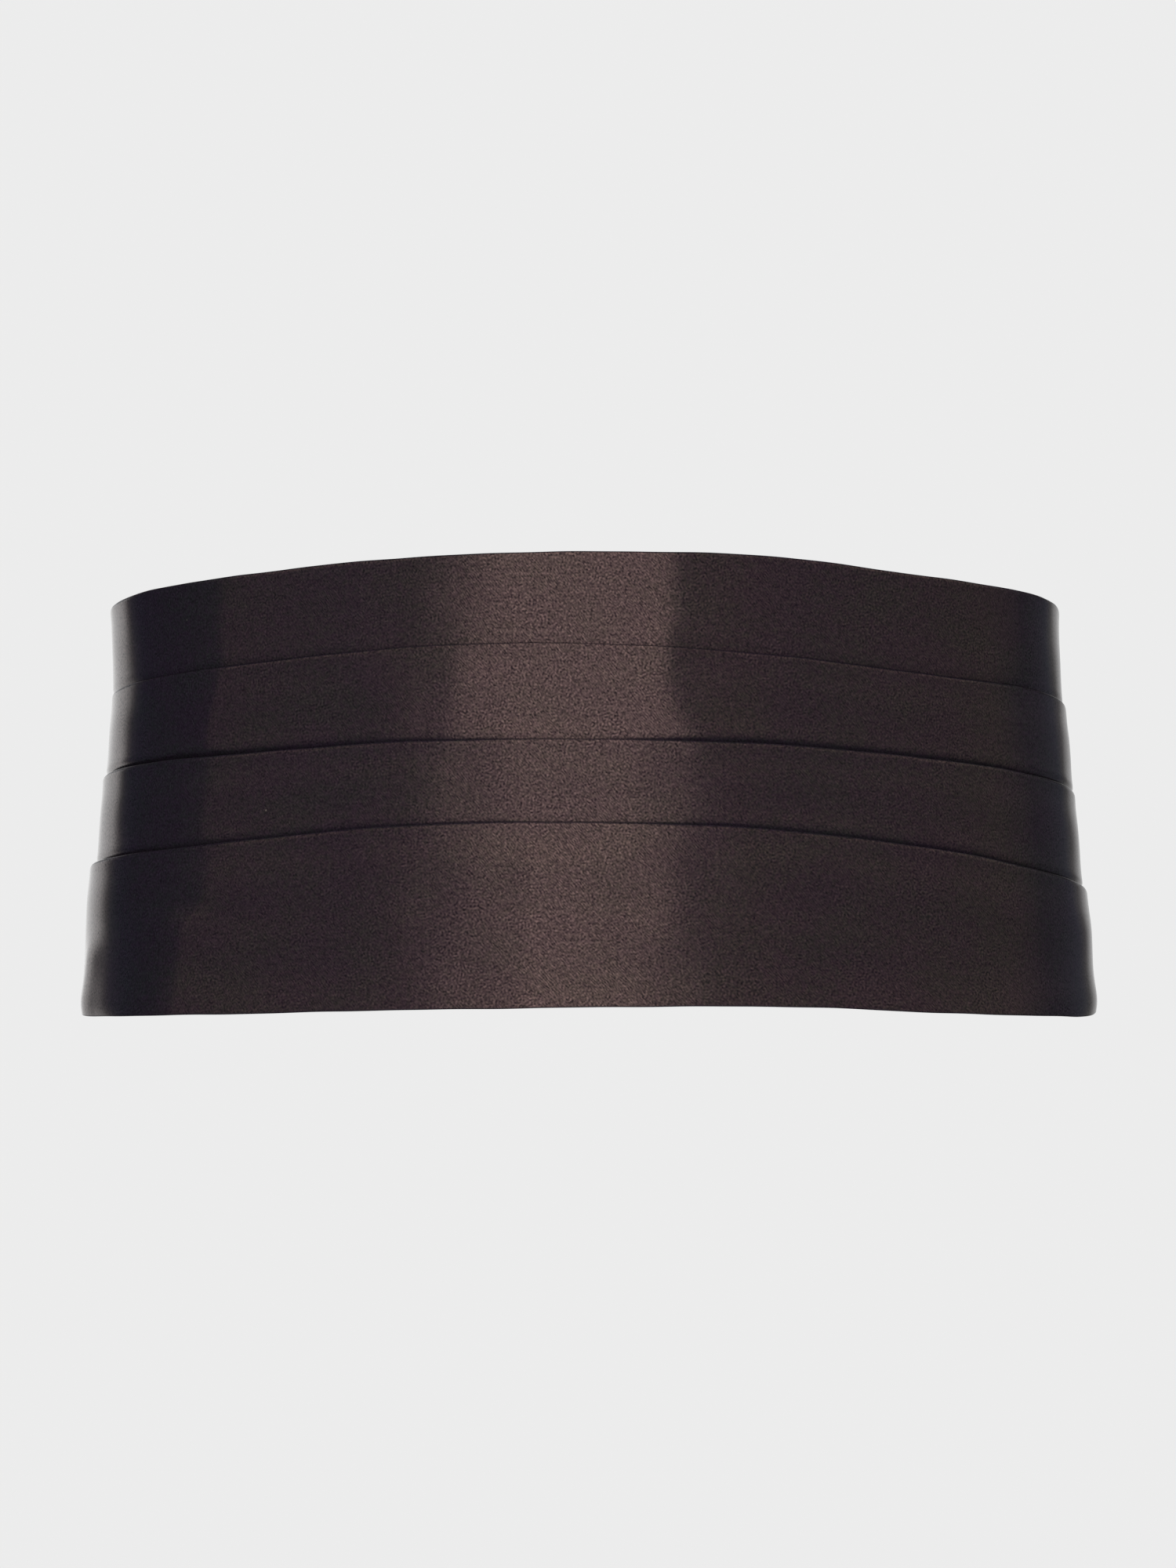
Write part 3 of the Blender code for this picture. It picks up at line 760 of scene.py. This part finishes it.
# lift of the tab's outer face: the folds of the panel show through it near its wide end
def tabFace(run, height, side):
    lift = tab["middle"] + tabSizes(run)[1] + cloth["wall"]
    end, over = tab["foldsEnd"]
    size, spread = tab["foldShow"]
    for fold in tab["folds"]:
        show = np.exp(-(((height - fold + 1.0) / spread) ** 2))
        lift = lift + size * ease((end - run) / over) * show
    size, first, last, over = tab["uneven"]
    uneven = size * waver(height * 1.9 + run * 0.8, 3 + side)
    lift = lift + uneven * ease((run - first) / over) * ease((last - run) / over)
    size, spread = tab["seam"]
    for seam in tab["seams"]:
        lift = lift - size * np.exp(-(((run - seam) / spread) ** 2))
    return lift


def makeTab(name, side):
    half, middle = cloth["wall"] / 2, tab["middle"]
    runs = np.linspace(tab["run"][0], tab["run"][-1], tab["columns"])
    # loops go out along the inside, round the lip, back along the outside and round the other lip
    lip = halfRound(5)
    lipOut, lipAlong = half * np.cos(lip), half * np.sin(lip)
    outward = np.concatenate([0 * runs, half - lipOut, 0 * runs + 2 * half, half + lipOut])
    places = np.concatenate([runs, runs[-1] + lipAlong, runs[::-1], runs[0] - lipAlong])
    share = np.linspace(-1, 1, tab["rows"])
    bend = halfRound(7)
    # painted shade, as gloss taken off, on the rounded edges and on the two ends
    onEdge = np.concatenate([0 * share, 0 * bend + tab["edgeShade"]] * 2)
    grid, flat, paintedShade = [], [], []
    for at, out in zip(places, outward):
        run = float(np.clip(at, runs[0], runs[-1]))
        halfHeight, hollow = tabSizes(run)
        straight, room = halfHeight - hollow, hollow + out
        upFace = straight * share
        outerFace = tabFace(run, upFace, side) - 2 * half + out
        topTurn = straight + room * np.sin(bend)
        topLift = middle + (outerFace[-1] - middle) * np.cos(bend)
        bottomTurn = -straight - room * np.sin(bend)
        bottomLift = middle - (outerFace[0] - middle) * np.cos(bend)
        height = np.concatenate([upFace, topTurn, upFace[::-1], bottomTurn])
        innerFace = 0 * share + middle - hollow - out
        lift = np.concatenate([outerFace, topLift, innerFace, bottomLift])
        lift = np.maximum(lift, middle - hollow - out)
        grid.append(waistPoint(side * at, height, lift))
        paintedShade.append(np.maximum(onEdge, 0.0 if runs[0] < at < runs[-1] else tab["edgeShade"]))
        around = lengthAlong(np.stack([height, lift], -1))
        flat.append(np.stack([0 * around + at + 500 + 90 * side, around], -1) * mm)
    grids = [(np.array(grid), "joined", np.array(flat))]
    made = skin(name + "_satin", grids, satin, paintedShade=np.array(paintedShade))
    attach(made, "root")
    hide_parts(name)
    return made


def tabStitchRows(side):
    def onFace(run, height):
        return side * run, height, tabFace(run, height, side) + tab["stitchLift"]

    rows = []
    for run in tab["seams"]:
        half = float(tabSizes(run)[0]) - tab["seamInset"]
        rows.append((2 * half, lambda at, run=run, half=half: onFace(run, at - half)))
    # along both tapered edges
    first, length, inset = tab["edgeSeam"]
    for up in (1, -1):
        rows.append((length, lambda at, up=up: onFace(
            first + at, up * (tabSizes(first + at)[0] - inset))))
    return rows


tabs, tabStitches = {}, {}
for name, side in (("right_tab", 1), ("left_tab", -1)):
    tabs[name] = makeTab(name, side)
    tabStitches[name] = makeStitches(name + "_stitches", tabStitchRows(side))
print("tabs made and stitched")


strap = {
    "height": 25.0,
    "inTab": 21.0,  # of its length
    "spacing": 0.7,  # from one row of points to the next
    "straight": 4.0,  # longest stretch between two points of its route
    "selvedge": 0.14,  # of its thickness, by which the middle is thinner
    "seams": (-50.0, -46.5),  # where the left one is sewn down, from the centre back
    "seamLength": 21.0,
}

# back and lift are of a part's middle; bar and metal are how wide and how thick its bars are
slider = {
    "back": 45.0, "lift": 4.05, "length": 18.0, "height": 31.0,
    "bar": 2.2, "metal": 1.6, "corner": 2.4,
}
ring = {"back": 0.0, "lift": 2.4, "length": 12.0, "height": 31.0, "bar": 2.0, "metal": 2.0, "corner": 2.2}
hook = {
    "barBack": -28.0, "lift": 2.6, "height": 30.0, "bar": 2.2, "metal": 1.2, "corner": 2.0,
    "window": 5.0, "tongue": 14.0,  # length of the strap's slot, and height of the tongue
}
chamfer = 0.35  # of the CAD bars; the straps turn clear of their corners


# how far a bar's corners reach from its middle
def barReach(width, thick):
    return max(math.hypot(width / 2, thick / 2 - chamfer), math.hypot(width / 2 - chamfer, thick / 2))


def halfTurn(back, lift, radius, start, end):
    angles = np.radians(np.linspace(start, end, 9))
    return [(back + radius * math.sin(a), lift + radius * math.cos(a)) for a in angles]


# points no more than `most` apart along straight lines between these
def denser(points, most=2.0, closed=False):
    ends = points[1:] + points[:1] if closed else points[1:]
    filled = []
    for near, far in zip(points, ends):
        pieces = max(1, math.ceil(math.dist(near, far) / most))
        filled += [tuple(np.add(near, np.subtract(far, near) * k / pieces)) for k in range(pieces)]
    return filled if closed else filled + [points[-1]]


# the route as evenly spaced points on its smooth curve: length, back and lift
def smoothRoute(points):
    route = np.array(denser(points, strap["straight"]))
    length = lengthAlong(route)
    stops = np.linspace(0, length[-1], int(length[-1] / strap["spacing"]) + 1)
    return stops, smoothLine(length, route[:, 0], stops), smoothLine(length, route[:, 1], stops)


# a flat strip with round edges, carried along a curve of back and lift: points, and heights
# round its section. thin is the share by which it gets thinner away from the edges.
def strip(back, lift, wide, half, rows, thin=0.0):
    share, bend = np.linspace(-1, 1, rows), halfRound(5)
    unit = np.concatenate([share, 1 + 0 * bend, share[::-1], -1 + 0 * bend])
    bulge = half * np.concatenate([0 * share, np.sin(bend), 0 * share, -np.sin(bend)])
    height = unit * (wide - half) + bulge
    face = half * (1 - thin + thin * np.abs(share) ** 6)
    off = np.concatenate([face, half * np.cos(bend), -face, -half * np.cos(bend)])
    across = squareTo(np.gradient(np.stack([back, lift], -1), axis=0))
    grid = backPoint(back[:, None] + across[:, :1] * off, height, lift[:, None] + across[:, 1:] * off)
    return grid, height


def rightRoute():
    half, gap = cloth["wall"] / 2, cloth["gap"]
    underBar = slider["lift"] - slider["metal"] / 2 - gap - half
    underBoth = underBar - step
    middle, reach = slider["back"], (slider["length"] - slider["bar"]) / 2
    firstBar, lastBar = middle + reach, middle - reach
    ringBar = (ring["length"] - ring["bar"]) / 2
    ringTurn = barReach(ring["bar"], ring["bar"]) + gap + half
    innerTurn = barReach(slider["bar"], slider["metal"]) + gap + half
    overBar = slider["lift"] + innerTurn + step
    out = [
        (tabEdge + strap["inTab"], tab["middle"]), (tabEdge - 0.5, tab["middle"]),
        (firstBar + 2.5, underBar - 0.1), (firstBar - 1.1, underBar), (firstBar - 2.9, underBar + 0.9),
        (middle + 4.4, slider["lift"] + 0.4), (middle + 3.0, overBar - 1.0), (middle, overBar),
        (middle - 3.0, overBar - 1.1), (middle - 4.4, slider["lift"] + 0.4),
        (lastBar + 2.9, underBar + 0.9), (lastBar + 1.0, underBar), (lastBar - 3.0, underBar),
        (20.0, underBar), (11.0, ring["lift"] + 1.0), (8.0, ring["lift"] + ringTurn - 0.25),
    ]
    home = [
        (8.0, ring["lift"] - ringTurn + 0.05), (14.0, underBoth - 0.15), (20.0, underBoth),
        (lastBar, underBoth), (lastBar + 2.6, underBoth + 0.1),
    ]
    turn = halfTurn(ringBar, ring["lift"], ringTurn, 0, -180)
    return out + turn + home + halfTurn(middle, slider["lift"], innerTurn, 200, -20)


def leftRoute():
    turnRadius = barReach(hook["bar"], hook["metal"]) + cloth["gap"] + cloth["wall"] / 2
    lower, bar = tab["middle"], hook["barBack"]
    upper = lower + step
    out = [
        (-tabEdge - strap["inTab"], lower), (-tabEdge + 0.5, lower),
        (-tabEdge + 3.0, lower + 0.6), (-tabEdge + 6.0, upper),
        (-40.0, upper), (bar - 4.5, hook["lift"] + turnRadius - 1.0),
    ]
    home = [(bar - 4.0, lower - 0.35), (-40.0, lower), (-tabEdge + 8.0, lower)]
    return out + halfTurn(bar, hook["lift"], turnRadius, 0, 180) + home


def makeStrap(name, route):
    length, back, lift = smoothRoute(route)
    grid, height = strip(back, lift, strap["height"] / 2, cloth["wall"] / 2, 15, strap["selvedge"])
    place = np.stack(np.broadcast_arrays(length[:, None], height), -1) * mm
    made = skin(name + "_webbing", [(grid, "capped", place)], ribbon)
    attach(made, "root")
    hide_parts(name)
    return made, float(length[-1])


rightStrap, rightLength = makeStrap("right_strap", rightRoute())
leftStrap, leftLength = makeStrap("left_strap", leftRoute())


def strapStitchRows():
    surface = tab["middle"] + step + cloth["wall"] / 2 - 0.05
    length = strap["seamLength"]
    return [
        (length, lambda at, back=back: (girth / 2 - back, at - length / 2, surface))
        for back in strap["seams"]
    ]


strapStitches = makeStitches("left_strap_stitches", strapStitchRows())
print("straps made: right", round(rightLength), "mm, left", round(leftLength), "mm of webbing")


# a part's rounded bar swept along a path of (back, height) points
def sweepBar(part, path, closed):
    path = np.array(path, float)
    if closed:
        across = squareTo(np.roll(path, -1, 0) - np.roll(path, 1, 0))
    else:
        across = squareTo(np.gradient(path, axis=0))
    angles = np.radians(np.arange(15, 375, 30))
    u = part["bar"] / 2 * signedPower(np.cos(angles), 0.62)
    v = part["metal"] / 2 * signedPower(np.sin(angles), 0.62)
    grid = backPoint(path[:, :1] + across[:, :1] * u, path[:, 1:] + across[:, 1:] * u, part["lift"] + v)
    return grid, "joined" if closed else "capped"


def quarterTurn(back, height, radius, start):
    angles = np.radians(np.linspace(start, start + 90, 7))
    return [(back + radius * math.cos(a), height + radius * math.sin(a)) for a in angles]


# a part's frame, a rectangle with round corners, as points along the middle of its bars
def roundedFrame(part):
    corner = part["corner"]
    halfLength = (part["length"] - part["bar"]) / 2 - corner
    halfHeight = (part["height"] - part["bar"]) / 2 - corner
    points = []
    for sideBack, sideHeight, start in ((1, 1, 0), (-1, 1, 90), (-1, -1, 180), (1, -1, 270)):
        middle = part["back"] + sideBack * halfLength
        points += quarterTurn(middle, sideHeight * halfHeight, corner, start)
    return denser(points, closed=True)


def finishMetal(name, node, parts):
    grids = [(grid, ends, np.zeros((*grid.shape[:2], 2))) for grid, ends in parts]
    made = skin(name, grids, metal)
    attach(made, "root")
    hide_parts(node)


def makeSlider():
    reach = slider["height"] / 2 - slider["bar"] + 0.6
    middle = denser([(slider["back"], -reach), (slider["back"], reach)])
    bars = [sweepBar(slider, roundedFrame(slider), True), sweepBar(slider, middle, False)]
    finishMetal("slider_frame", "slider", bars)


def makeRing():
    finishMetal("clasp_ring", "ring", [sweepBar(ring, roundedFrame(ring), True)])


# the hook: a slotted frame for the strap and a tongue that curls round the ring's bar
def makeHook():
    thick, bar, corner = hook["metal"], hook["bar"], hook["corner"]
    turnRadius = barReach(ring["bar"], ring["bar"]) + cloth["gap"] + thick / 2
    ringBar = (ring["bar"] - ring["length"]) / 2
    flat, over, under = hook["lift"], ring["lift"] + turnRadius, ring["lift"] - turnRadius
    slotEnd = hook["barBack"] + bar / 2 + hook["window"]
    full, narrow = hook["height"] / 2, hook["tongue"] / 2
    side = full - bar / 2
    path = [(slotEnd + 1.6, side)]
    for start, up in ((90, 1), (180, -1)):
        path += quarterTurn(hook["barBack"] + corner, up * (side - corner), corner, start)
    path.append((slotEnd + 1.6, -side))
    frameBar = sweepBar(hook, denser(path), False)
    # back, lift and half height of the tongue, from the slot to its tip
    stations = [
        (slotEnd, flat, full - 0.6), (slotEnd + 0.8, flat, full),
        (slotEnd + 2.2, flat, full - 0.15), (slotEnd + 3.4, flat + 0.02, full - 1.4),
        (slotEnd + 5.2, flat + 0.12, (full + narrow) / 2), (slotEnd + 7.5, flat + 0.3, narrow + 0.9),
        (ringBar - 5.6, over - 0.25, narrow + 0.1), (ringBar - 2.5, over, narrow),
    ]
    stations += [(*point, narrow) for point in halfTurn(ringBar, ring["lift"], turnRadius, 0, 180)]
    stations += [(ringBar - 2.6, under + 0.06, narrow - 0.3), (ringBar - 3.6, under + 0.1, narrow - 1.2)]
    stations = np.array(stations)
    length = lengthAlong(stations[:, :2])
    stops = np.linspace(0, length[-1], 90)
    back, lift, half = (smoothLine(length, stations[:, k], stops) for k in range(3))
    grid = strip(back, lift, half[:, None], thick / 2, 13)[0]
    finishMetal("clasp_hook", "hook", [frameBar, (grid, "capped")])


makeSlider()
makeRing()
makeHook()
print("slider, ring and hook made")


for name, band in bands.items():
    runs = np.linspace(-front["end"], front["end"], 200)
    room = panelEdge(band["top"], runs) - panelEdge(band["bottom"], runs)
    room = room + (cloth["tuck"] if "below" in band else 0)

for name in tabs:
    runs = np.linspace(tab["run"][0], tab["run"][-1], 50)

studio = {
    "paper": (0.84, 0.84, 0.84, 1),  # the pale surround that the camera sees
    # round the object: degrees from the camera's side towards +X, brightness, and tone from
    # -1, cool, to 1, warm
    "around": (
        (-180, 0.95, 0), (-150, 0.95, 0), (-141.5, 0.90, 0), (-137, 0.56, 0), (-133, 0.18, 0),
        (-129, 0.10, -0.5), (-122, 0.06, -1), (-112, 0.05, -1),
        (-80.5, 0.04, -1), (-79.3, 0.17, 0.5), (-36, 0.17, 0.5), (-27, 0.30, 0.5), (-21, 0.62, 0),
        (-14, 1.40, 0), (-9, 1.78, 0), (5, 1.78, 0), (8, 1.28, 0), (12, 0.50, 0.2), (18, 0.33, 1.0),
        (32, 0.21, 1.4), (92, 0.19, 1.4), (112, 0.08, -0.5), (140, 0.11, -0.5), (149, 0.16, 0),
        (157, 0.45, 0), (168, 0.62, 0), (180, 0.66, 0),
    ),
    # colours of the light for tones -1, 0, 1 and 2
    "tones": ((0.6, 0.8, 1.35), (1, 1, 1), (1.07, 0.985, 0.84), (1.04, 1.06, 0.74)),
    # share of it by elevation
    "upward": (
        (-90, 0.06), (-50, 0.12), (-24, 0.97), (0, 1.0), (28, 1.0), (42, 0.5), (58, 0.10), (90, 0.04)),
    # the same in front, whose light stands taller
    "upwardFront": ((-90, 0.06), (-50, 0.2), (-26, 1.0), (0, 1.0), (34, 1.1), (62, 0.7), (90, 0.25)),
    "inFront": ((-180, 0.0), (-26, 0.0), (-22, 1.0), (14, 1.0), (18, 0.0), (180, 0.0)),
    # the same behind the object, where the light comes in lower
    "upwardBehind": ((-90, 0.04), (-46, 0.10), (-24, 1.0), (14, 1.0), (30, 0.14), (90, 0.03)),
    "behind": ((-180, 1.0), (-128, 1.0), (-118, 0.0), (118, 0.0), (128, 1.0), (180, 1.0)),
    # a long light above the front, added to it, by elevation and by turn
    "above": ((-90, 0.0), (8, 0.0), (24, 0.36), (46, 0.36), (56, 0.0), (90, 0.0)),
    "aboveTurn": ((-180, 0.0), (-95, 0.0), (-78, 1.0), (92, 1.0), (130, 0.3), (180, 0.0)),
    "aboveTone": 1.2,
    "most": 2.5,  # brightness that stands for 1 in the ramps
    "floorHeight": -0.75,
    "floorRadius": 6.0,
}

# distance in metres from the front of the satin, pitch in degrees upwards, lens and sensor in mm
cameraSettings = {"distance": 1.793, "height": -0.0809, "pitch": 2.587, "lens": 145.03, "sensor": 36.0}


def tonedLight(level, tone=0.0):
    return [level * float(np.interp(tone, (-1, 0, 1, 2), parts)) for parts in zip(*studio["tones"])]


# brightness, and tone where it is given, at stops from -reach to reach degrees
def ramp(tree, value, stops, reach, scale=1.0):
    made = addNode(tree, "ValToRGB", {"Fac": value})
    elements = made.color_ramp.elements
    while len(elements) > 1:
        elements.remove(elements[-1])
    for k, (at, *light) in enumerate(stops):
        place = (at + reach) / (2 * reach)
        element = elements[0] if k == 0 else elements.new(place)
        element.position = place
        element.color = (*(part / scale for part in tonedLight(*light)), 1)
    return made.outputs["Color"]


def makeStudio():
    world = bpy.data.worlds.new("studio")
    bpy.context.scene.world = world
    world.use_nodes = True
    tree = world.node_tree
    tree.nodes.clear()
    direction = addNode(tree, "TexCoord").outputs["Generated"]
    parts = addNode(tree, "SeparateXYZ", {"Vector": direction})
    backwards = maths(tree, "MULTIPLY", parts.outputs["Y"], -1.0)
    turn = maths(tree, "ARCTAN2", parts.outputs["X"], backwards)
    turnShare = maths(tree, "MULTIPLY_ADD", turn, 0.5 / math.pi, 0.5)
    rise = maths(tree, "ARCSINE", parts.outputs["Z"])
    riseShare = maths(tree, "MULTIPLY_ADD", rise, 1 / math.pi, 0.5)
    turned = {key: ramp(tree, turnShare, studio[key], 180) for key in ("behind", "inFront", "aboveTurn")}
    risen = {key: ramp(tree, riseShare, studio[key], 90)
             for key in ("upward", "upwardBehind", "upwardFront", "above")}
    around = ramp(tree, turnShare, studio["around"], 180, studio["most"])
    upward = mixColour(tree, turned["behind"], risen["upward"], risen["upwardBehind"])
    upward = mixColour(tree, turned["inFront"], upward, risen["upwardFront"])
    low = mixColour(tree, 1.0, around, upward, "MULTIPLY")
    high = mixColour(tree, 1.0, risen["above"], turned["aboveTurn"], "MULTIPLY")
    tone = (*tonedLight(1 / studio["most"], studio["aboveTone"]), 1)
    high = mixColour(tree, 1.0, high, tone, "MULTIPLY")
    light = mixColour(tree, 1.0, low, high, "ADD")
    lights = addNode(tree, "Background", {"Color": light, "Strength": studio["most"]})
    paper = addNode(tree, "Background", {"Color": studio["paper"]})
    seen = addNode(tree, "LightPath")
    both = addNode(tree, "MixShader", {
        0: seen.outputs["Is Camera Ray"], 1: lights.outputs[0], 2: paper.outputs[0]})
    addNode(tree, "OutputWorld", {"Surface": both.outputs[0]})


# the floor shows as bare paper and takes no light
def paperInputs(tree, look):
    return {
        "Base Color": (0, 0, 0, 1),
        "Specular IOR Level": 0.0,
        "Roughness": 1.0,
        "Emission Color": look["paper"],
        "Emission Strength": 1.0,
    }


def makeFloor():
    mesh = bpy.data.meshes.new("floor")
    work = bmesh.new()
    bmesh.ops.create_circle(work, cap_ends=True, segments=96, radius=studio["floorRadius"])
    work.to_mesh(mesh)
    work.free()
    floor = addObject("floor", mesh)
    floor.location = (0, 0, studio["floorHeight"])
    mesh.materials.append(makeMaterial("pale floor", paperInputs, studio))
    floor.visible_diffuse = False
    floor.visible_glossy = False


def makeCamera():
    data = bpy.data.cameras.new("camera")
    data.lens = cameraSettings["lens"]
    data.sensor_width = cameraSettings["sensor"]
    camera = addObject("camera", data)
    camera.location = (0, cadBox[0].y - cameraSettings["distance"], cameraSettings["height"])
    camera.rotation_euler = (math.radians(90 + cameraSettings["pitch"]), 0, 0)
    bpy.context.scene.camera = camera


makeStudio()
makeFloor()
makeCamera()
bpy.context.scene.view_settings.view_transform = "Standard"
print("studio ready")
